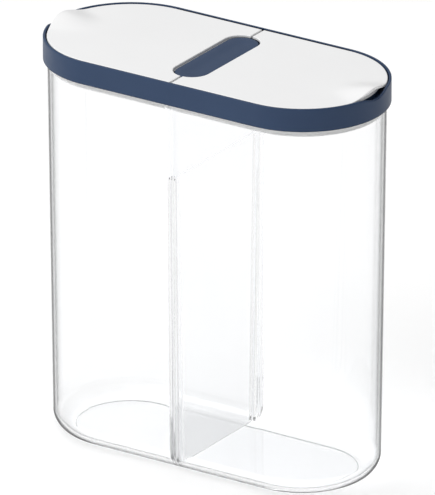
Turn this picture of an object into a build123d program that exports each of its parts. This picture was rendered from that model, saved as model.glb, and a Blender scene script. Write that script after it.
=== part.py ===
from build123d import *
import math
import os

# Two-compartment dry-food dispenser: a clear stadium-shaped container, a loose divider between
# two pairs of guide ribs, and a lift-off lid whose two flaps hinge on its crossbar.
# Millimetres. The origin is the centre of the base, X runs along the length, Z is up.

# Overall size
lid_length = 240.0
lid_radius = 55.5
arc_centre = lid_length / 2 - lid_radius
lid_top = 266.5
skirt_height = 15.2
skirt_thickness = 1.6
skirt_bottom = lid_top - skirt_height
skirt_fillet = 0.5
skirt_inner_radius = lid_radius - skirt_thickness

# Container
base_radius = 49.8
draft_angle = 0.7
wall = 2.0
floor_thickness = 2.6
container_height = 258.0
base_fillet = 13.0
rim_fillet = 0.6
foot_width = 1.5
foot_recess = 0.8

# Divider and its guide ribs
divider_thickness = 1.5
divider_top = 245.5
divider_clearance = 0.4
divider_corner = 1.0
slot_half_width = 1.05
rib_thickness = 2.0
rib_depth = 6.7
rib_draft = 1.32
rib_top = 215.0
rib_lead_in = 14.0

# Lid frame
deck_bottom = container_height + 0.3
deck_thickness = 1.8
deck_top = deck_bottom + deck_thickness
plug_outer_radius = 49.2
plug_bottom = 247.5
pour_radius = 47.0
pour_inboard = 14.0
pour_corner = 6.0
coaming_thickness = 1.6
coaming_top = 262.5
coaming_bottom = 252.0
scoop_width = 30.0
scoop_depth = 3.0

# Lid gasket
gasket_core_radius = 49.9
gasket_fin_radius = 50.5
gasket_bottom = 246.5
gasket_top = 257.0
fin_thickness = 0.9
fin_count = 3

# Flaps, with the hinge axes parallel to Y
flap_radius = 53.05
flap_thickness = 1.8
flap_top = lid_top - 0.4
flap_bottom = flap_top - flap_thickness
flap_gap = 1.5
flap_edge_fillet = 0.6
hinge_x = 4.2
hinge_z = 263.8
pin_radius = 1.0
pin_fit = 0.06
pin_inner_end = 46.0
pin_end_play = 0.4
barrel_radius = flap_top - hinge_z
barrel_inner_end = 44.0
barrel_outer_end = 52.4
lip_height = 4.3
lip_half_width = 18.5
lip_reach = 25.0
lip_thickness = 1.8
recess_radius = 49.3
cut_margin = 1.0

# Flap seals
seal_clearance = 0.6
seal_thickness = 1.8
seal_bottom = 259.5
seal_flange_bottom = coaming_top + 0.3

# Hinge cover and the cut-out that the flaps leave around it
cutout_radius = 12.0
cutout_centre = 28.0
cover_radius = 11.0
cover_top = 265.0
cover_plate = 1.5
cover_fillet = 0.8
cover_wall_radius = 9.6
cover_wall = 1.4

os.makedirs("parts", exist_ok=True)


def wall_radius(height):
    """Outer end radius of the drafted container at a height."""
    return base_radius + height * math.tan(math.radians(draft_angle))


def stadium(radius, mode=Mode.ADD):
    """Stadium along X whose end arcs share the lid's arc centres."""
    SlotCenterToCenter(2 * arc_centre, 2 * radius, mode=mode)


def pill(radius, mode=Mode.ADD):
    """Stadium along Y for the hinge cover and its cut-out."""
    SlotCenterToCenter(2 * cutout_centre, 2 * radius, rotation=90, mode=mode)


def keep_right_of(x):
    """Trims the open sketch to everything beyond x."""
    with Locations((x + lid_length / 2, 0)):
        Rectangle(lid_length, lid_length, mode=Mode.INTERSECT)


def half_stadium(radius, inboard, corner):
    """Face of the right-hand half of a stadium, cut straight and rounded at x = inboard."""
    with BuildSketch(Plane.XY) as half:
        stadium(radius)
        keep_right_of(inboard)
        fillet(half.vertices().group_by(Axis.X)[0], corner)
    return half.sketch


def seal_outline(clearance):
    """Pour opening drawn inwards by a clearance."""
    return half_stadium(pour_radius - clearance, pour_inboard + clearance, pour_corner - clearance)


# Container: outer shell less a cavity, which leaves the guide ribs standing on both long walls
with BuildPart() as cavity:
    with BuildSketch(Plane.XY.offset(floor_thickness)):
        stadium(wall_radius(floor_thickness) - wall)
    extrude(amount=container_height - floor_thickness, taper=-draft_angle)
    fillet(cavity.edges().group_by(Axis.Z)[0], base_fillet - wall)
    for rib_start in (slot_half_width, -slot_half_width - rib_thickness):
        with BuildSketch(Plane.YZ.offset(rib_start)):
            for side in (1, -1):
                rib_tip = rib_top - rib_lead_in
                rib_foot = base_radius - wall - rib_depth
                rib_lean = rib_tip * math.tan(math.radians(rib_draft))
                Polygon(
                    (side * rib_foot, 0),
                    (side * (rib_foot + rib_lean), rib_tip),
                    (side * (wall_radius(rib_top) - wall), rib_top),
                    (side * lid_radius, rib_top),
                    (side * lid_radius, 0),
                    align=None,
                )
        extrude(amount=rib_thickness, mode=Mode.SUBTRACT)

with BuildPart() as container:
    with BuildSketch(Plane.XY):
        stadium(base_radius)
    extrude(amount=container_height, taper=-draft_angle)
    fillet(container.edges().group_by(Axis.Z)[0], base_fillet)
    add(cavity.part, mode=Mode.SUBTRACT)
    fillet(container.faces().sort_by(Axis.Z)[-1].edges(), rim_fillet)
    with BuildSketch(Plane.XY):
        stadium(base_radius - base_fillet - foot_width)
    extrude(amount=foot_recess, mode=Mode.SUBTRACT)
container.part.label = "container"
export_step(container.part, "parts/container.step")

# Divider: a flat plate that follows the drafted walls and the rounded floor
with BuildPart() as divider:
    divider_foot = floor_thickness + 0.3
    half_foot = wall_radius(divider_foot) - wall - divider_clearance
    half_head = wall_radius(divider_top) - wall - divider_clearance
    with BuildSketch(Plane.YZ.offset(-divider_thickness / 2)) as plate:
        Polygon(
            (-half_foot, divider_foot),
            (half_foot, divider_foot),
            (half_head, divider_top),
            (-half_head, divider_top),
            align=None,
        )
        fillet(plate.vertices().group_by(Axis.Y)[0], base_fillet - wall)
        fillet(plate.vertices().group_by(Axis.Y)[-1], divider_corner)
    extrude(amount=divider_thickness)
divider.part.label = "divider"
export_step(divider.part, "parts/divider.step")

# Lid frame: skirt, deck with two pour openings, plug wall, raised coamings and stub hinge pins
with BuildPart() as lid_frame:
    with BuildSketch(Plane.XY.offset(skirt_bottom)):
        stadium(lid_radius)
        stadium(skirt_inner_radius, mode=Mode.SUBTRACT)
    extrude(amount=skirt_height)
    fillet(lid_frame.faces().sort_by(Axis.Z)[-1].edges(), skirt_fillet)
    with BuildSketch(Plane.XY.offset(deck_bottom)):
        stadium(lid_radius - skirt_thickness / 2)
    extrude(amount=deck_thickness)
    with BuildSketch(Plane.XY.offset(plug_bottom)):
        stadium(plug_outer_radius)
        stadium(pour_radius, mode=Mode.SUBTRACT)
    extrude(amount=deck_top - plug_bottom)
    coaming_outline = half_stadium(
        pour_radius + coaming_thickness,
        pour_inboard - coaming_thickness,
        pour_corner + coaming_thickness,
    )
    for turn in (0, 180):
        with BuildSketch(Plane.XY.offset(coaming_bottom)):
            add(coaming_outline, rotation=turn)
        extrude(amount=coaming_top - coaming_bottom)
        with BuildSketch(Plane.XY.offset(plug_bottom)):
            add(seal_outline(0.0), rotation=turn)
        extrude(amount=lid_top - plug_bottom, mode=Mode.SUBTRACT)
        with BuildSketch(Plane.YZ.offset(-math.copysign(arc_centre, turn - 90))):
            scoop_radius = (scoop_width**2 / 4 + scoop_depth**2) / (2 * scoop_depth)
            with Locations((0, lid_top - scoop_depth + scoop_radius)):
                Circle(scoop_radius)
        extrude(amount=-math.copysign(lid_length, turn - 90), mode=Mode.SUBTRACT)
    for side in (1, -1):
        with BuildSketch(Plane.XZ.offset(side * (skirt_inner_radius + skirt_thickness / 2))):
            with Locations((hinge_x, hinge_z), (-hinge_x, hinge_z)):
                Circle(pin_radius)
        extrude(amount=-side * (skirt_inner_radius + skirt_thickness / 2 - pin_inner_end))
lid_frame.part.label = "lid_frame"
export_step(lid_frame.part, "parts/lid_frame.step")

# Lid gasket: a soft sleeve on the plug wall with fins that wipe the container's wall
with BuildPart() as lid_gasket:
    with BuildSketch(Plane.XY.offset(gasket_bottom)):
        stadium(gasket_core_radius)
        stadium(plug_outer_radius, mode=Mode.SUBTRACT)
    extrude(amount=gasket_top - gasket_bottom)
    fin_pitch = (gasket_top - gasket_bottom - fin_thickness) / (fin_count - 1)
    for fin in range(fin_count):
        with BuildSketch(Plane.XY.offset(gasket_bottom + fin * fin_pitch)):
            stadium(gasket_fin_radius)
            stadium(plug_outer_radius, mode=Mode.SUBTRACT)
        extrude(amount=fin_thickness)
lid_gasket.part.label = "lid_gasket"
export_step(lid_gasket.part, "parts/lid_gasket.step")

# Hinge cover: a pill-shaped cap standing on the crossbar between the flaps
with BuildPart() as hinge_cover:
    with BuildSketch(Plane.XY.offset(cover_top - cover_plate)):
        pill(cover_radius)
    extrude(amount=cover_plate)
    fillet(hinge_cover.faces().sort_by(Axis.Z)[-1].edges(), cover_fillet)
    with BuildSketch(Plane.XY.offset(deck_top)):
        pill(cover_wall_radius)
        pill(cover_wall_radius - cover_wall, mode=Mode.SUBTRACT)
    extrude(amount=cover_top - cover_plate - deck_top)
hinge_cover.part.label = "hinge_cover"
export_step(hinge_cover.part, "parts/hinge_cover.step")

# Finger lip at the flap's tip: a shallow roll whose axis climbs towards the tip
roll_radius = (lip_half_width**2 + lip_height**2) / (2 * lip_height)
roll_slope = math.atan2(lip_height, lip_reach)
lip_tip = Vector(arc_centre + flap_radius, 0, flap_top + lip_height)
roll_origin = lip_tip - Vector(0, 0, roll_radius / math.cos(roll_slope))
roll_plane = Plane(origin=roll_origin, z_dir=(math.cos(roll_slope), 0, math.sin(roll_slope)))

with BuildPart() as lip:
    with BuildSketch(Plane.XY.offset(flap_bottom)):
        stadium(flap_radius)
        keep_right_of(arc_centre)
    extrude(amount=2 * lip_height + flap_thickness)
    with Locations(roll_plane):
        Cylinder(roll_radius, lid_length, mode=Mode.INTERSECT)

# Hollow under the lip, where a fingertip reaches in from the scoop in the lid's rim
with BuildPart() as finger_hollow:
    with BuildSketch(Plane.XY.offset(flap_bottom - cut_margin)):
        stadium(lid_radius)
        stadium(recess_radius, mode=Mode.SUBTRACT)
        keep_right_of(arc_centre)
    extrude(amount=2 * lip_height + cut_margin)
    with Locations(roll_plane):
        Cylinder(roll_radius - lip_thickness, lid_length, mode=Mode.INTERSECT)

# Right flap, with a hinge barrel at the front and at the back
with BuildPart() as right_flap:
    with BuildSketch(Plane.XY.offset(flap_bottom)):
        stadium(flap_radius)
        keep_right_of(flap_gap / 2)
        pill(cutout_radius, mode=Mode.SUBTRACT)
    extrude(amount=flap_thickness)
    fillet(right_flap.faces().sort_by(Axis.Z)[-1].edges(), flap_edge_fillet)
    add(lip.part)
    add(finger_hollow.part, mode=Mode.SUBTRACT)
    for side in (1, -1):
        with BuildSketch(Plane.XZ.offset(side * barrel_outer_end)):
            with Locations((hinge_x, hinge_z)):
                Circle(barrel_radius)
        extrude(amount=-side * (barrel_outer_end - barrel_inner_end))
        with BuildSketch(Plane.XZ.offset(side * lid_radius)):
            with Locations((hinge_x, hinge_z)):
                Circle(pin_radius + pin_fit)
        extrude(amount=-side * (lid_radius - pin_inner_end + pin_end_play), mode=Mode.SUBTRACT)
right_flap.part.label = "right_flap"
export_step(right_flap.part, "parts/right_flap.step")

with BuildPart() as left_flap:
    mirror(right_flap.part, about=Plane.YZ)
left_flap.part.label = "left_flap"
export_step(left_flap.part, "parts/left_flap.step")

# Flap seals: a soft plug ring inside the coaming, under a flange that covers its top edge
with BuildPart() as right_flap_seal:
    with BuildSketch(Plane.XY.offset(seal_bottom)):
        add(seal_outline(seal_clearance))
    extrude(amount=flap_bottom - seal_bottom)
    with BuildSketch(Plane.XY.offset(seal_flange_bottom)):
        add(coaming_outline)
    extrude(amount=flap_bottom - seal_flange_bottom)
    with BuildSketch(Plane.XY.offset(seal_bottom)):
        add(seal_outline(seal_clearance + seal_thickness))
    extrude(amount=flap_bottom - seal_bottom, mode=Mode.SUBTRACT)
right_flap_seal.part.label = "right_flap_seal"
export_step(right_flap_seal.part, "parts/right_flap_seal.step")

with BuildPart() as left_flap_seal:
    mirror(right_flap_seal.part, about=Plane.YZ)
left_flap_seal.part.label = "left_flap_seal"
export_step(left_flap_seal.part, "parts/left_flap_seal.step")
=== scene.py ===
import math

import bmesh
import bpy
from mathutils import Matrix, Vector


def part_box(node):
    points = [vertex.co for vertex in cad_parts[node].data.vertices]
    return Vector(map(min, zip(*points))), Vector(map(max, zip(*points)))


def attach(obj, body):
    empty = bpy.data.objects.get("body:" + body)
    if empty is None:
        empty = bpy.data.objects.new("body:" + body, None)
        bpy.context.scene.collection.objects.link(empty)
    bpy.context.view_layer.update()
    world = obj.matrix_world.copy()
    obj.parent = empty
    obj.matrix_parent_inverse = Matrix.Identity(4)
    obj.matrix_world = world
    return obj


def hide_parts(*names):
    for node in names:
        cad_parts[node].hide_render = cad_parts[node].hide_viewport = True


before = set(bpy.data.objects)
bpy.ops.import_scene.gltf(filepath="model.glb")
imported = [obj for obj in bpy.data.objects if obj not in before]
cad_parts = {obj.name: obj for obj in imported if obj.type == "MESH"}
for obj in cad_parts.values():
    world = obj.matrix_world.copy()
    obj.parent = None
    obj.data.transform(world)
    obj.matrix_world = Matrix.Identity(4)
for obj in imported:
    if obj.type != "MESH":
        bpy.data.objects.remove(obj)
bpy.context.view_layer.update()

# Two-compartment cereal dispenser. Everything is in metres, in the CAD frame.
MM = 0.001

# Driving sizes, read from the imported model
frame_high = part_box("lid_frame")[1]
container_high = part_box("container")[1]
flap_low, flap_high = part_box("right_flap")
cover_low, cover_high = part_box("hinge_cover")
LID_RADIUS = frame_high[1]
ARC = frame_high[0] - LID_RADIUS
LID_TOP = frame_high[2]
RIM_HEIGHT = container_high[2]
RIM_RADIUS = container_high[1]

# Container
DRAFT = math.tan(math.radians(0.7))
BASE_RADIUS = RIM_RADIUS - RIM_HEIGHT * DRAFT
WALL = 2.0 * MM
FLOOR = 2.6 * MM
BASE_FILLET = 13.0 * MM
FOOT_WIDTH = 1.5 * MM
FOOT_RECESS = 0.8 * MM
FOOT_ROUND = 0.3 * MM
FLOOR_MARGIN = 3.0 * MM
RIM_ROUND = 0.6 * MM
ARC_STEPS = 112
FILLET_STEPS = 20

# Guide ribs
RIB_START = 1.05 * MM
RIB_THICK = 2.0 * MM
RIB_TOP = 215.0 * MM
RIB_LEAD_IN = 14.0 * MM
RIB_DEPTH = 6.7 * MM
RIB_FOOT = BASE_RADIUS - WALL - RIB_DEPTH
RIB_LEAN = math.tan(math.radians(1.32))
HEAD_LOW = RIB_TOP - RIB_LEAD_IN - 1 * MM
HEAD_HALF_WIDTH = 0.9 * RIB_THICK
LEAD_IN_STEPS = 14
LEAD_IN_OVERRUN = 1.1
SPARE_HEIGHTS = [150.0 * MM, 100.0 * MM, 50.0 * MM]
LONG_SPAN = 50.0 * MM

# Flaps
FLAP_RADIUS = flap_high[1]
FLAP_INNER = flap_low[0]
FLAP_THICK = 1.8 * MM
FLAP_TOP = LID_TOP - 0.4 * MM
LIP_HEIGHT = flap_high[2] - FLAP_TOP
LIP_HALF_ANGLE = 25.0
LIP_REACH = 28.0 * MM
HOLLOW_RADIUS = 45.0 * MM
HOLLOW_RUN = 4.0 * MM
EDGE_ROUND = 0.6 * MM
UNDER_ROUND_SHARE = 0.4
EDGE_STEPS = [step * MM for step in (0.0, 0.04, 0.12, 0.25, 0.42, 0.6, 1.0)]
FLAP_COLUMNS = 150
FLAP_ROWS = 34
TIP_STEPS = 240
CUTOUT_RADIUS = 12.0 * MM
CUTOUT_CENTRE = 28.0 * MM
CUTOUT_STEPS = 80
HINGE_X = 4.2 * MM
HINGE_Z = 263.8 * MM
BARREL_RADIUS = 0.99 * (FLAP_TOP - HINGE_Z)
BARREL_INNER_END = 44.0 * MM
BARREL_OUTER_END = 52.4 * MM
BARREL_STEPS = 32

# Lid band, with a finger scoop at each tip
BAND_THICK = 1.6 * MM
BAND_HEIGHT = 15.2 * MM
BAND_STEPS = 96
BAND_SPANS = 8
BAND_LONG_SPAN = 5.0 * MM
BAND_CORNER_STEPS = 6
DECK_REACH = LID_RADIUS - 1.2 * MM
SCOOP_HALF = 17.0 * MM
SCOOP_DEPTH = 3.0 * MM
SCOOP_FLOOR = LID_TOP - 9.0 * MM

# Hinge cover
COVER_PLATE = 1.5 * MM
COVER_WALL_INSET = 1.4 * MM
COVER_DISH = 0.7 * MM
COVER_DISH_EDGE = cover_high[0] - 2.5 * MM
COVER_DISH_MIDDLE = 0.3 * MM
COVER_DISH_STEPS = 12
COVER_CORNER_STEPS = 6
COVER_ARC_STEPS = 40
COVER_SIDE_STEPS = 8


# ---------------------------------------------------------------- outlines

def rib_stations():
    """Places along X across one rib, and how far out each stands, from 0 at the wall to 1 at the tip."""
    root = [(0.45, 0.0), (0.28, 0.015), (0.14, 0.04), (0.04, 0.08), (0.0, 0.14)]
    crown = [(0.0, 0.86), (0.04, 0.93), (0.14, 0.98), (0.35, 1.0)]
    inner = [(RIB_START - gap * MM, share) for gap, share in root]
    inner += [(RIB_START + gap * MM, share) for gap, share in crown]
    across = 2 * RIB_START + RIB_THICK
    return inner + [(across - x, share) for x, share in reversed(inner)]


def side_stations():
    """The same along a whole straight side, less its far end, where the next arc starts."""
    half = [(ARC, 0.0), (0.7 * ARC, 0.0), (0.35 * ARC, 0.0), (7 * MM, 0.0)]
    half += reversed(rib_stations())
    half.append((0.3 * MM, 0.0))
    return half + [(-x, share) for x, share in reversed(half[1:])]


SIDE_STATIONS = side_stations()


def smoothstep(t):
    """Smooth rise from 0 to 1."""
    t = max(0.0, min(1.0, t))
    return t * t * (3 - 2 * t)


def rib_tip(z):
    """Distance of the ribs' tips from the middle plane at a height. It reaches the wall over the lead-in."""
    climb = smoothstep((z - RIB_TOP + RIB_LEAD_IN) / RIB_LEAD_IN)
    tip = RIB_FOOT + z * RIB_LEAN
    return tip + (BASE_RADIUS + z * DRAFT - WALL - tip) * climb


def stadium_loop(radius, z, arc_steps=ARC_STEPS, ribs=False):
    """Points of a stadium along X at height z, anticlockwise from the front of the right arc."""
    points = []
    for side in (1, -1):
        for step in range(arc_steps):
            angle = -math.pi / 2 + math.pi * step / arc_steps
            points.append((side * (ARC + radius * math.cos(angle)), side * radius * math.sin(angle), z))
        for x, share in SIDE_STATIONS:
            depth = max(radius - rib_tip(z), 0.0) * share if ribs else 0.0
            points.append((side * x, side * (radius - depth), z))
    return points


def pill_loop(radius, z):
    """Points of the hinge cover's outline, a stadium along Y."""
    points = []
    for side in (1, -1):
        for step in range(COVER_ARC_STEPS):
            angle = math.pi * step / COVER_ARC_STEPS
            y = CUTOUT_CENTRE + radius * math.sin(angle)
            points.append((side * radius * math.cos(angle), side * y, z))
        for step in range(COVER_SIDE_STEPS):
            y = CUTOUT_CENTRE - 2 * CUTOUT_CENTRE * step / COVER_SIDE_STEPS
            points.append((-side * radius, side * y, z))
    return points


def rounded(corners, steps, closed=False):
    """Profile through (r, z, fillet) corners, with each corner replaced by its fillet arc."""
    count = len(corners)
    out = []
    for i, (r, z, fillet) in enumerate(corners):
        here = Vector((r, z))
        if fillet == 0 or (not closed and i in (0, count - 1)):
            out.append((r, z))
            continue
        before = Vector(corners[i - 1][:2]) - here
        after = Vector(corners[(i + 1) % count][:2]) - here
        before.normalize()
        after.normalize()
        half = before.angle(after) / 2
        start = here + before * (fillet / math.tan(half))
        end = here + after * (fillet / math.tan(half))
        centre = here + (before + after).normalized() * (fillet / math.sin(half))
        sweep = math.pi - 2 * half
        for step in range(steps + 1):
            t = step / steps
            a = math.sin((1 - t) * sweep) / math.sin(sweep)
            b = math.sin(t * sweep) / math.sin(sweep)
            point = centre + (start - centre) * a + (end - centre) * b
            out.append((point.x, point.y))
    return out


def walk(corners, count):
    """Evenly spaced points along a chain of densely sampled points."""
    lengths = [0.0]
    for a, b in zip(corners, corners[1:]):
        lengths.append(lengths[-1] + math.dist(a, b))
    points = []
    spot = 0
    for i in range(count + 1):
        target = lengths[-1] * i / count
        while spot < len(lengths) - 2 and lengths[spot + 1] < target:
            spot += 1
        span = lengths[spot + 1] - lengths[spot]
        t = 0.0 if span == 0 else (target - lengths[spot]) / span
        a, b = corners[spot], corners[spot + 1]
        points.append((a[0] + (b[0] - a[0]) * t, a[1] + (b[1] - a[1]) * t))
    return points


# ---------------------------------------------------------------- meshes

def new_object(name, mesh, sharp=35.0):
    """A linked object with smooth faces and edges kept crisp beyond an angle."""
    mesh.validate()
    for face in mesh.polygons:
        face.use_smooth = True
    mesh.set_sharp_from_angle(angle=math.radians(sharp))
    obj = bpy.data.objects.new(name, mesh)
    bpy.context.scene.collection.objects.link(obj)
    return obj


def even_shading(obj):
    """Weights the normals by face size, so that broad faces shade flat."""
    weight = obj.modifiers.new("weight", "WEIGHTED_NORMAL")
    weight.keep_sharp = True


def mesh_from(bm, name):
    """Mesh made from a bmesh, which is freed."""
    mesh = bpy.data.meshes.new(name)
    bm.to_mesh(mesh)
    bm.free()
    return mesh


def loft_mesh(name, loops, closed):
    """Skin through loops of equal length. An open skin is closed by flat faces at its two ends."""
    bm = bmesh.new()
    rows = [[bm.verts.new(point) for point in loop] for loop in loops]
    count = len(rows[0])
    following = rows[1:] + rows[:1] if closed else rows[1:]
    for low, high in zip(rows, following):
        for i in range(count):
            j = (i + 1) % count
            bm.faces.new((low[i], low[j], high[j], high[i]))
    if not closed:
        bm.faces.new(list(reversed(rows[0])))
        bm.faces.new(rows[-1])
    bmesh.ops.recalc_face_normals(bm, faces=bm.faces)
    return mesh_from(bm, name)


def smooth_copy(node, name, bevel):
    """A welded, smooth-shaded piece with a CAD node's shape and softened edges."""
    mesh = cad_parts[node].data.copy()
    bm = bmesh.new()
    bm.from_mesh(mesh)
    bmesh.ops.remove_doubles(bm, verts=bm.verts, dist=1e-6)
    bmesh.ops.dissolve_limit(bm, angle_limit=math.radians(0.2), verts=bm.verts, edges=bm.edges)
    bm.to_mesh(mesh)
    bm.free()
    mesh.materials.clear()
    obj = new_object(name, mesh, 30.0)
    soften = obj.modifiers.new("soften", "BEVEL")
    soften.width = bevel
    soften.segments = 2
    soften.limit_method = "ANGLE"
    soften.angle_limit = math.radians(40)
    soften.harden_normals = True
    even_shading(obj)
    return obj


def add_bar(bm, outline, low, high):
    """Prism along Y of a closed (x, z) outline, between two values of y."""
    ends = [[bm.verts.new((x, y, z)) for x, z in outline] for y in (low, high)]
    count = len(outline)
    for i in range(count):
        j = (i + 1) % count
        bm.faces.new((ends[0][i], ends[0][j], ends[1][j], ends[1][i]))
    bm.faces.new(list(reversed(ends[0])))
    bm.faces.new(ends[1])


# ---------------------------------------------------------------- shader nodes

def new_material(name):
    """Material with a Principled shader, and that shader and its tree."""
    material = bpy.data.materials.new(name)
    material.use_nodes = True
    tree = material.node_tree
    return material, tree, tree.nodes["Principled BSDF"]


def noise(tree, scale, detail=3.0, stretch=(1, 1, 1)):
    """Noise in the object's own coordinates, in features per metre."""
    place = tree.nodes.new("ShaderNodeTexCoord")
    mapping = tree.nodes.new("ShaderNodeMapping")
    mapping.inputs["Scale"].default_value = stretch
    texture = tree.nodes.new("ShaderNodeTexNoise")
    texture.inputs["Scale"].default_value = scale
    texture.inputs["Detail"].default_value = detail
    tree.links.new(place.outputs["Object"], mapping.inputs["Vector"])
    tree.links.new(mapping.outputs["Vector"], texture.inputs["Vector"])
    return texture.outputs["Fac"]


def stepped(tree, source, stops):
    """Colour ramp through (position, colour) stops."""
    node = tree.nodes.new("ShaderNodeValToRGB")
    elements = node.color_ramp.elements
    for element, (position, colour) in zip(elements, (stops[0], stops[-1])):
        element.position = position
        element.color = (*colour, 1)
    for position, colour in stops[1:-1]:
        elements.new(position).color = (*colour, 1)
    tree.links.new(source, node.inputs["Fac"])
    return node.outputs["Color"]


def ramp(tree, source, low, high):
    """Blends two colours over the middle stretch of a noise."""
    return stepped(tree, source, ((0.35, low), (0.65, high)))


def spread(tree, source, low, high):
    """Maps a 0..1 value onto low..high."""
    node = tree.nodes.new("ShaderNodeMapRange")
    node.inputs["To Min"].default_value = low
    node.inputs["To Max"].default_value = high
    tree.links.new(source, node.inputs["Value"])
    return node.outputs["Result"]


def bump(tree, source, strength, distance):
    """Normal for a shader from a height value."""
    node = tree.nodes.new("ShaderNodeBump")
    node.inputs["Strength"].default_value = strength
    node.inputs["Distance"].default_value = distance
    tree.links.new(source, node.inputs["Height"])
    return node.outputs["Normal"]


def arithmetic(tree, operation, *terms):
    """Result of a maths node whose terms are plain numbers or other nodes' outputs."""
    node = tree.nodes.new("ShaderNodeMath")
    node.operation = operation
    for socket, term in zip(node.inputs, terms):
        if isinstance(term, float):
            socket.default_value = term
        else:
            tree.links.new(term, socket)
    return node.outputs[0]


def see_through(tree, colour):
    """Shader that tints what is behind it and doesn't bend light."""
    node = tree.nodes.new("ShaderNodeBsdfTransparent")
    node.inputs["Color"].default_value = (*colour, 1)
    return node.outputs[0]


def blend(tree, share, first, second):
    """Mixes two shaders, given the share of the second."""
    node = tree.nodes.new("ShaderNodeMixShader")
    for socket, source in zip(node.inputs, (share, first, second)):
        tree.links.new(source, socket)
    return node.outputs[0]


# ---------------------------------------------------------------- materials

PLASTIC_IOR = 1.49
SILICONE_IOR = 1.41
CLEAR_TINT = (0.990, 0.992, 0.994)
# Grey for glancing faces: partly the longer path through the plastic, partly painted shade for the dark edge
# lines.
GLANCING_GREY = (0.75, 0.76, 0.77)
# Painted shade: a near-black see-through layer laid over faces seen at a glancing angle, in place of the
# dark edges that bent light gives clear plastic.
PAINTED_EDGE_SHADE = (0.05, 0.05, 0.055)
STRAIGHT_TINT = (0.985, 0.987, 0.99)

# How far a face is turned away from the eye, and the share there of the glancing grey and of the painted
# edge shade
GLANCING_GREY_STOPS = ((0.40, 0.0), (0.55, 0.12), (0.68, 0.55), (0.76, 1.0), (0.84, 0.85), (0.94, 0.5))
PAINTED_EDGE_SHADE_STOPS = (
    (0.60, 0.0), (0.66, 0.03), (0.71, 0.10), (0.75, 0.26),
    (0.80, 0.66), (0.85, 0.70), (0.90, 0.20), (0.96, 0.0),
)


def moulded_plastic(name, dark, light, roughness, grain, ior=PLASTIC_IOR, painted_glow=0.0):
    """Satin moulding: faint colour drift, a fine spark-eroded grain and uneven gloss, plus an optional even
    white emission that paints light onto the part.
    """
    material, tree, shader = new_material(name)
    drift = noise(tree, 14.0, 4.0)
    tree.links.new(ramp(tree, drift, dark, light), shader.inputs["Base Color"])
    gloss = spread(tree, noise(tree, 120.0, 5.0), roughness - 0.06, roughness + 0.06)
    tree.links.new(gloss, shader.inputs["Roughness"])
    tree.links.new(bump(tree, noise(tree, 1700.0, 2.0), grain, 0.02 * MM), shader.inputs["Normal"])
    shader.inputs["IOR"].default_value = ior
    shader.inputs["Specular IOR Level"].default_value = 0.28
    # Painted light: a white emission of the given strength, which makes the part glow though it is no lamp.
    shader.inputs["Emission Color"].default_value = (1, 1, 1, 1)
    shader.inputs["Emission Strength"].default_value = painted_glow
    return material


def rib_heads(tree):
    """1 beside the middle plane from the ribs' sloping tops upwards, and 0 elsewhere.

    It covers the heads of the ribs, the strips of wall above them and the top of the divider's faces.
    """
    place = tree.nodes.new("ShaderNodeSeparateXYZ")
    tree.links.new(tree.nodes.new("ShaderNodeTexCoord").outputs["Object"], place.inputs[0])
    offset = arithmetic(tree, "ABSOLUTE", place.outputs["X"])
    across = arithmetic(tree, "COMPARE", offset, RIB_START + RIB_THICK / 2, HEAD_HALF_WIDTH)
    high = arithmetic(tree, "GREATER_THAN", place.outputs["Z"], HEAD_LOW)
    return arithmetic(tree, "MULTIPLY", across, high)


def clear_base(tree, shader, turned):
    """Sets up the shader as clear plastic with faint flow marks, tinted grey where a face turns away: partly
    the longer path through the plastic, partly painted shade.
    """
    flow = noise(tree, 18.0, 1.0, (1, 1, 0.3))
    tinted = tree.nodes.new("ShaderNodeMix")
    tinted.data_type = "RGBA"
    tinted.blend_type = "MULTIPLY"
    tinted.inputs[0].default_value = 1.0
    tree.links.new(ramp(tree, flow, [c * 0.994 for c in CLEAR_TINT], CLEAR_TINT), tinted.inputs[6])
    edge_stops = [(place, [1 - share * (1 - c) for c in GLANCING_GREY]) for place, share in GLANCING_GREY_STOPS]
    tree.links.new(stepped(tree, turned, edge_stops), tinted.inputs[7])
    tree.links.new(tinted.outputs[2], shader.inputs["Base Color"])
    gloss = spread(tree, noise(tree, 60.0, 3.0), 0.0, 0.006)
    tree.links.new(gloss, shader.inputs["Roughness"])
    tree.links.new(bump(tree, flow, 0.006, 0.2 * MM), shader.inputs["Normal"])
    shader.inputs["Transmission Weight"].default_value = 1.0
    shader.inputs["IOR"].default_value = PLASTIC_IOR


def clear_plastic(name, depth_limit):
    """Clear moulding, with painted shade where a wall is met at a glancing angle: a grey tint and a dark
    see-through layer stand in for the dark edges that bent light gives.

    Light goes straight through for shadow rays, for rays that have met more faces than the limit, and
    at the heads of the ribs, where the slopes would otherwise turn black.
    """
    material, tree, shader = new_material(name)
    glance = tree.nodes.new("ShaderNodeLayerWeight")
    glance.inputs["Blend"].default_value = 0.5
    turned = glance.outputs["Facing"]
    clear_base(tree, shader, turned)
    heads = rib_heads(tree)
    # Painted shade: the dark layer is mixed in on glancing faces, except at the rib heads.
    painted_shade_share = arithmetic(
        tree, "MULTIPLY",
        stepped(tree, turned, [(place, [share] * 3) for place, share in PAINTED_EDGE_SHADE_STOPS]),
        arithmetic(tree, "SUBTRACT", 1.0, heads),
    )
    with_painted_shade = blend(tree, painted_shade_share, shader.outputs[0], see_through(tree, PAINTED_EDGE_SHADE))
    path = tree.nodes.new("ShaderNodeLightPath")
    deep = arithmetic(tree, "GREATER_THAN", path.outputs["Ray Depth"], depth_limit)
    straight = arithmetic(tree, "MAXIMUM", path.outputs["Is Shadow Ray"], deep)
    straight = arithmetic(tree, "MAXIMUM", straight, heads)
    surface = blend(tree, straight, with_painted_shade, see_through(tree, STRAIGHT_TINT))
    tree.links.new(surface, tree.nodes["Material Output"].inputs["Surface"])
    return material


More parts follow.
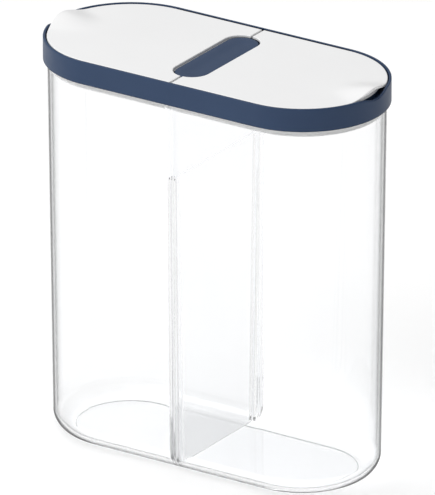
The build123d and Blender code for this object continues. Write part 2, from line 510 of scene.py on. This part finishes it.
navy = moulded_plastic("navy_plastic", (0.020, 0.043, 0.097), (0.024, 0.050, 0.109), 0.45, 0.25)
white = moulded_plastic("white_plastic", (0.845, 0.845, 0.847), (0.860, 0.860, 0.862), 0.38, 0.12)
# The silicone glows faintly: painted light that brightens the gasket band below the lid's overhang.
silicone = moulded_plastic(
    "white_silicone", (0.92, 0.92, 0.915), (0.94, 0.94, 0.935), 0.60, 0.2, SILICONE_IOR, 0.12
)
clear = clear_plastic("clear_plastic", 5.5)
clear_plate = clear_plastic("clear_divider_plastic", 3.5)


def finish(obj, body, material, node):
    """Gives a piece its material and its body, and hides the CAD node that it stands for."""
    obj.data.materials.clear()
    obj.data.materials.append(material)
    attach(obj, body)
    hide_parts(node)


# ---------------------------------------------------------------- container

def make_container():
    """Drafted shell with a rounded base, a foot ring and two pairs of guide ribs."""
    foot = BASE_RADIUS - BASE_FILLET - FOOT_WIDTH
    outside = rounded([
        (foot - FLOOR_MARGIN, FOOT_RECESS, 0),
        (foot, FOOT_RECESS, FOOT_ROUND),
        (foot, 0, FOOT_ROUND),
        (BASE_RADIUS, 0, BASE_FILLET),
        (RIM_RADIUS, RIM_HEIGHT, RIM_ROUND),
        (RIM_RADIUS - WALL / 2, RIM_HEIGHT, 0),
    ], FILLET_STEPS)
    inside = rounded([
        (RIM_RADIUS - WALL / 2, RIM_HEIGHT, 0),
        (RIM_RADIUS - WALL, RIM_HEIGHT, RIM_ROUND),
        (BASE_RADIUS + FLOOR * DRAFT - WALL, FLOOR, BASE_FILLET - WALL),
        (foot - FLOOR_MARGIN, FLOOR, 0),
    ], FILLET_STEPS)[1:]
    loops = [stadium_loop(r, z) for r, z in outside]
    for (r, z), (next_r, next_z) in zip(inside, inside[1:] + inside[-1:]):
        loops.append(stadium_loop(r, z, ribs=True))
        if z - next_z > LONG_SPAN:
            step_down = RIB_LEAD_IN * LEAD_IN_OVERRUN / LEAD_IN_STEPS
            slope = [RIB_TOP + 1 * MM - step_down * step for step in range(LEAD_IN_STEPS + 1)]
            for height in slope + SPARE_HEIGHTS:
                radius = r + (next_r - r) * (z - height) / (z - next_z)
                loops.append(stadium_loop(radius, height, ribs=True))
    shell = new_object("container_body", loft_mesh("container_body", loops, False))
    even_shading(shell)
    finish(shell, "container", clear, "container")


# ---------------------------------------------------------------- flaps

def lip_rise(x, y):
    """Height of the finger lip over the flap's flat top."""
    dx = x - ARC
    if dx <= 0:
        return 0.0
    inward = FLAP_RADIUS - math.hypot(dx, y)
    angle = abs(math.degrees(math.atan2(y, dx)))
    return LIP_HEIGHT * smoothstep(1 - angle / LIP_HALF_ANGLE) * smoothstep(1 - inward / LIP_REACH)


def edge_distance(x, y):
    """Distance from the flap's outline, inwards."""
    outer = FLAP_RADIUS - math.hypot(max(abs(x) - ARC, 0.0), y)
    pill = math.hypot(x, max(abs(y) - CUTOUT_CENTRE, 0.0)) - CUTOUT_RADIUS
    return min(outer, x - FLAP_INNER, pill)


def flap_heights(x, y):
    """Heights of the flap's top and underside at a place on it."""
    rise = lip_rise(x, y)
    near = min(max(edge_distance(x, y), 0.0), EDGE_ROUND)
    drop = EDGE_ROUND - math.sqrt(EDGE_ROUND**2 - (EDGE_ROUND - near) ** 2)
    radius = math.hypot(max(x - ARC, 0.0), y)
    hollow = rise * smoothstep((radius - HOLLOW_RADIUS) / HOLLOW_RUN)
    return FLAP_TOP + rise - drop, FLAP_TOP - FLAP_THICK + hollow + UNDER_ROUND_SHARE * drop


def outer_edge(start):
    """Outer edge of the right flap, from x = start at the front around to the back."""
    chain = [(start, -FLAP_RADIUS), (ARC, -FLAP_RADIUS)]
    for step in range(1, TIP_STEPS):
        angle = -math.pi / 2 + math.pi * step / TIP_STEPS
        chain.append((ARC + FLAP_RADIUS * math.cos(angle), FLAP_RADIUS * math.sin(angle)))
    return chain + [(ARC, FLAP_RADIUS), (start, FLAP_RADIUS)]


def cutout_edge(start):
    """Edge of the cut-out around the hinge cover, from x = start at the front to the back."""
    first = math.asin(start / CUTOUT_RADIUS)
    back_arc = []
    for step in range(CUTOUT_STEPS + 1):
        angle = first + (math.pi / 2 - first) * step / CUTOUT_STEPS
        y = CUTOUT_CENTRE + CUTOUT_RADIUS * math.cos(angle)
        back_arc.append((CUTOUT_RADIUS * math.sin(angle), y))
    return [(x, -y) for x, y in back_arc] + back_arc[::-1]


def flap_lines():
    """Matching points of the outer edge and the inner edge, between which the flap is drawn."""
    last = EDGE_STEPS[-1]
    outer = walk(outer_edge(FLAP_INNER + last), FLAP_COLUMNS)
    inner = walk(cutout_edge(FLAP_INNER + last), FLAP_COLUMNS)
    for x_step in reversed(EDGE_STEPS[:-1]):
        x = FLAP_INNER + x_step
        y = CUTOUT_CENTRE + math.sqrt(CUTOUT_RADIUS**2 - x**2)
        outer = [(x, -FLAP_RADIUS)] + outer + [(x, FLAP_RADIUS)]
        inner = [(x, -y)] + inner + [(x, y)]
    return zip(outer, inner)


def flap_places(length):
    """Distances along one line of the flap, closer together at both ends."""
    last = EDGE_STEPS[-1]
    middle = [last + (length - 2 * last) * i / FLAP_ROWS for i in range(1, FLAP_ROWS)]
    return EDGE_STEPS + middle + [length - step for step in reversed(EDGE_STEPS)]


def border(grid):
    """Outermost points of a grid of lines, in order around it."""
    edge = [line[0] for line in grid] + grid[-1][1:]
    edge += [line[-1] for line in reversed(grid[:-1])]
    return edge + grid[0][-2:0:-1]


def add_barrels(bm, side):
    """The flap's two hinge barrels, at the front and at the back."""
    outline = []
    for step in range(BARREL_STEPS):
        angle = 2 * math.pi * step / BARREL_STEPS
        x = side * HINGE_X + BARREL_RADIUS * math.cos(angle)
        outline.append((x, HINGE_Z + BARREL_RADIUS * math.sin(angle)))
    for end in (-1, 1):
        add_bar(bm, outline, end * BARREL_INNER_END, end * BARREL_OUTER_END)


def make_flap(side, name, body, node):
    """One flip-up half of the lid, with its finger lip, the hollow under it and two hinge barrels."""
    bm = bmesh.new()
    top = []
    bottom = []
    for (ax, ay), (bx, by) in flap_lines():
        length = math.dist((ax, ay), (bx, by))
        top_line = []
        bottom_line = []
        for place in flap_places(length):
            t = place / length
            x = ax + (bx - ax) * t
            y = ay + (by - ay) * t
            upper, lower = flap_heights(x, y)
            top_line.append(bm.verts.new((side * x, y, upper)))
            bottom_line.append(bm.verts.new((side * x, y, lower)))
        top.append(top_line)
        bottom.append(bottom_line)
    for grid in (top, bottom):
        for line, following in zip(grid, grid[1:]):
            for i in range(len(line) - 1):
                bm.faces.new((line[i], following[i], following[i + 1], line[i + 1]))
    rim = border(top)
    under = border(bottom)
    for i in range(len(rim)):
        j = (i + 1) % len(rim)
        bm.faces.new((rim[i], rim[j], under[j], under[i]))
    add_barrels(bm, side)
    bmesh.ops.recalc_face_normals(bm, faces=bm.faces)
    flap = new_object(name, mesh_from(bm, name), 60.0)
    finish(flap, body, white, node)


# ---------------------------------------------------------------- lid frame and cover

def scooped(x, y, z):
    """Band point with the rim lowered smoothly at both tips for a fingertip."""
    if abs(x) < ARC or z < SCOOP_FLOOR or abs(y) > SCOOP_HALF:
        return x, y, z
    depth = SCOOP_DEPTH * math.cos(math.pi * y / (2 * SCOOP_HALF)) ** 2
    return x, y, SCOOP_FLOOR + (z - SCOOP_FLOOR) * (1 - depth / (LID_TOP - SCOOP_FLOOR))


def make_band():
    """Outer band of the lid with softened edges and a finger scoop at each tip."""
    inner = LID_RADIUS - BAND_THICK
    low = LID_TOP - BAND_HEIGHT
    corners = rounded([
        (LID_RADIUS, low, 0.5 * MM),
        (LID_RADIUS, LID_TOP, 0.75 * MM),
        (inner, LID_TOP, 0.4 * MM),
        (inner, low, 0.4 * MM),
    ], BAND_CORNER_STEPS, True)
    profile = []
    for (r, z), (next_r, next_z) in zip(corners, corners[1:] + corners[-1:]):
        profile.append((r, z))
        if abs(z - next_z) > BAND_LONG_SPAN:
            for step in range(1, BAND_SPANS):
                t = step / BAND_SPANS
                profile.append((r + (next_r - r) * t, z + (next_z - z) * t))
    loops = []
    for r, z in profile:
        loops.append([scooped(*point) for point in stadium_loop(r, z, BAND_STEPS)])
    return new_object("lid_band", loft_mesh("lid_frame_body", loops, True))


def make_deck():
    """The CAD's deck, plug wall, coamings and hinge pins, without its outer band."""
    deck = smooth_copy("lid_frame", "lid_deck", 0.15 * MM)
    bm = bmesh.new()
    bm.from_mesh(deck.data)
    outermost = []
    for face in bm.faces:
        reach = min(math.hypot(max(abs(v.co.x) - ARC, 0.0), v.co.y) for v in face.verts)
        if reach > DECK_REACH:
            outermost.append(face)
    bmesh.ops.delete(bm, geom=outermost, context="FACES")
    bm.to_mesh(deck.data)
    bm.free()
    return deck


def make_lid_frame():
    """The band, and the deck inside it."""
    band = make_band()
    deck = make_deck()
    for piece in (band, deck):
        finish(piece, "lid", navy, "lid_frame")


def make_cover():
    """Pill-shaped cap with a shallow dished top."""
    radius = cover_high[0]
    top = cover_high[2]
    low = top - COVER_PLATE
    profile = rounded([
        (radius - COVER_WALL_INSET, cover_low[2], 0),
        (radius - COVER_WALL_INSET, low, 0),
        (radius, low, 0.2 * MM),
        (radius, top, 0.9 * MM),
        (COVER_DISH_EDGE, top, 0),
    ], COVER_CORNER_STEPS)
    for step in range(1, COVER_DISH_STEPS + 1):
        t = step / COVER_DISH_STEPS
        place = COVER_DISH_EDGE * (1 - t) + COVER_DISH_MIDDLE * t
        profile.append((place, top - COVER_DISH * smoothstep(t)))
    loops = [pill_loop(r, z) for r, z in profile]
    cover = new_object("hinge_cap", loft_mesh("hinge_cap", loops, False))
    finish(cover, "lid", navy, "hinge_cover")


# ---------------------------------------------------------------- all pieces

make_container()
make_lid_frame()
make_cover()
make_flap(1, "right_flap_top", "right_flap", "right_flap")
make_flap(-1, "left_flap_top", "left_flap", "left_flap")
plate = smooth_copy("divider", "divider_plate", 0.3 * MM)
finish(plate, "divider", clear_plate, "divider")
for node, body in (
    ("lid_gasket", "lid"), ("right_flap_seal", "right_flap"), ("left_flap_seal", "left_flap")
):
    seal = smooth_copy(node, node + "_ring", 0.15 * MM)
    finish(seal, body, silicone, node)


# ---------------------------------------------------------------- stage, light and camera

AZIMUTH = math.radians(33.284)
ELEVATION = math.radians(22.485)
CAMERA_DISTANCE = 11.1
FRAME_HEIGHT = 0.3119
FILM = 36.0
FLOOR_HALF = 6.0
FLOOR_DROP = 0.2 * MM

back = Vector((
    math.sin(AZIMUTH) * math.cos(ELEVATION),
    -math.cos(AZIMUTH) * math.cos(ELEVATION),
    math.sin(ELEVATION),
))
right = Vector((math.cos(AZIMUTH), math.sin(AZIMUTH), 0))
up = back.cross(right)
CAMERA_AIM = Vector((0, 0, 0.125)) + right * 0.0005 + up * 0.0102
LAMP_AIM = Vector((0, 0, 0.15))
LAMP_PLACE = back * 0.9 - right * 1.5 + Vector((0, 0, 1.5))


def make_floor():
    """A plain pale floor."""
    bm = bmesh.new()
    bmesh.ops.create_grid(bm, x_segments=8, y_segments=8, size=FLOOR_HALF)
    floor = bpy.data.objects.new("floor", mesh_from(bm, "floor"))
    bpy.context.scene.collection.objects.link(floor)
    floor.location.z = -FLOOR_DROP
    material, tree, shader = new_material("floor")
    shade = ramp(tree, noise(tree, 3.0), (0.93, 0.93, 0.93), (0.95, 0.95, 0.95))
    tree.links.new(shade, shader.inputs["Base Color"])
    shader.inputs["Roughness"].default_value = 0.9
    shader.inputs["Specular IOR Level"].default_value = 0.1
    shader.inputs["Emission Color"].default_value = (1, 1, 1, 1)
    shader.inputs["Emission Strength"].default_value = 0.11
    floor.data.materials.append(material)


def make_camera():
    """Long lens, looking down at the front from the right."""
    data = bpy.data.cameras.new("camera")
    data.sensor_width = FILM
    data.lens = FILM * CAMERA_DISTANCE / FRAME_HEIGHT
    data.clip_end = 60.0
    camera = bpy.data.objects.new("camera", data)
    bpy.context.scene.collection.objects.link(camera)
    camera.location = CAMERA_AIM + back * CAMERA_DISTANCE
    camera.rotation_mode = "QUATERNION"
    camera.rotation_quaternion = (-back).to_track_quat("-Z", "Y")
    bpy.context.scene.camera = camera


def make_world():
    """Soft studio surround: bright overhead, dimmer towards the camera's right."""
    world = bpy.data.worlds.new("studio")
    bpy.context.scene.world = world
    world.use_nodes = True
    tree = world.node_tree
    background = tree.nodes["Background"]
    background.inputs["Color"].default_value = (1, 1, 1, 1)
    place = tree.nodes.new("ShaderNodeTexCoord")
    parts = tree.nodes.new("ShaderNodeSeparateXYZ")
    tree.links.new(place.outputs["Generated"], parts.inputs[0])
    sky = tree.nodes.new("ShaderNodeMapRange")
    sky.interpolation_type = "SMOOTHSTEP"
    sky.inputs["From Min"].default_value = 0.0
    sky.inputs["From Max"].default_value = 0.8
    sky.inputs["To Min"].default_value = 0.20
    sky.inputs["To Max"].default_value = 1.08
    tree.links.new(parts.outputs["Z"], sky.inputs["Value"])
    aside = tree.nodes.new("ShaderNodeVectorMath")
    aside.operation = "DOT_PRODUCT"
    aside.inputs[1].default_value = right
    tree.links.new(place.outputs["Generated"], aside.inputs[0])
    shade = tree.nodes.new("ShaderNodeMapRange")
    shade.inputs["From Min"].default_value = -1.0
    shade.inputs["From Max"].default_value = 1.0
    shade.inputs["To Min"].default_value = 1.35
    shade.inputs["To Max"].default_value = 0.45
    tree.links.new(aside.outputs["Value"], shade.inputs["Value"])
    strength = arithmetic(tree, "MULTIPLY", sky.outputs["Result"], shade.outputs["Result"])
    tree.links.new(strength, background.inputs["Strength"])


def make_key():
    """Large soft lamp above and to the left of the camera."""
    data = bpy.data.lights.new("key", "AREA")
    data.shape = "RECTANGLE"
    data.size = 1.4
    data.size_y = 1.0
    data.energy = 20.0
    lamp = bpy.data.objects.new("key", data)
    bpy.context.scene.collection.objects.link(lamp)
    lamp.location = LAMP_PLACE
    lamp.rotation_mode = "QUATERNION"
    lamp.rotation_quaternion = (LAMP_AIM - LAMP_PLACE).normalized().to_track_quat("-Z", "Y")


make_floor()
make_camera()
make_world()
make_key()
bpy.context.scene.view_settings.view_transform = "Standard"
